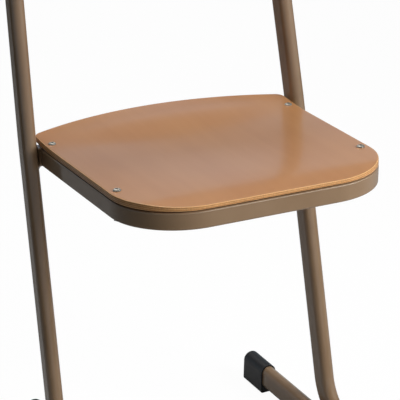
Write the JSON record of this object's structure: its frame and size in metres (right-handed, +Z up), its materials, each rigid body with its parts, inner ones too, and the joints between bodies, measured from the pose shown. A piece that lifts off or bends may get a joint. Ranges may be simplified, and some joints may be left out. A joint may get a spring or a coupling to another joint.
{
  "type": "choir chair",
  "caption": "Upright chair with a moulded plywood seat and backrest bolted to a bent flat-oval steel tube frame on skid feet.",
  "frame": {"origin": "on the floor, under the middle of the chair", "axes": "+Z up, -Y towards the front of the chair, +X towards the sitter's left"},
  "size_m": [0.4568, 0.4396, 0.852],
  "materials": {
    "frame_paint": "semi-gloss",
    "plywood": "clear lacquer",
    "black_plastic": "satin",
    "fastener_steel": "zinc plated"
  },
  "bodies": {
    "root": {"left_side_tube": "frame_paint", "right_side_tube": "frame_paint", "left_rear_runner": "frame_paint", "right_rear_runner": "frame_paint", "seat_ring": "frame_paint", "rear_crossbar": "frame_paint", "seat_panel": "plywood", "backrest_panel": "plywood", "rear_left_foot_cap": "black_plastic", "rear_right_foot_cap": "black_plastic", "front_left_foot_cap": "black_plastic", "front_right_foot_cap": "black_plastic", "left_top_plug": "black_plastic", "right_top_plug": "black_plastic", "left_runner_plug": "black_plastic", "right_runner_plug": "black_plastic", "seat_bolts": "fastener_steel", "seat_washers": "fastener_steel", "seat_nuts": "fastener_steel", "backrest_bolts": "fastener_steel", "backrest_cap_nuts": "fastener_steel"}
  },
  "joints": []
}
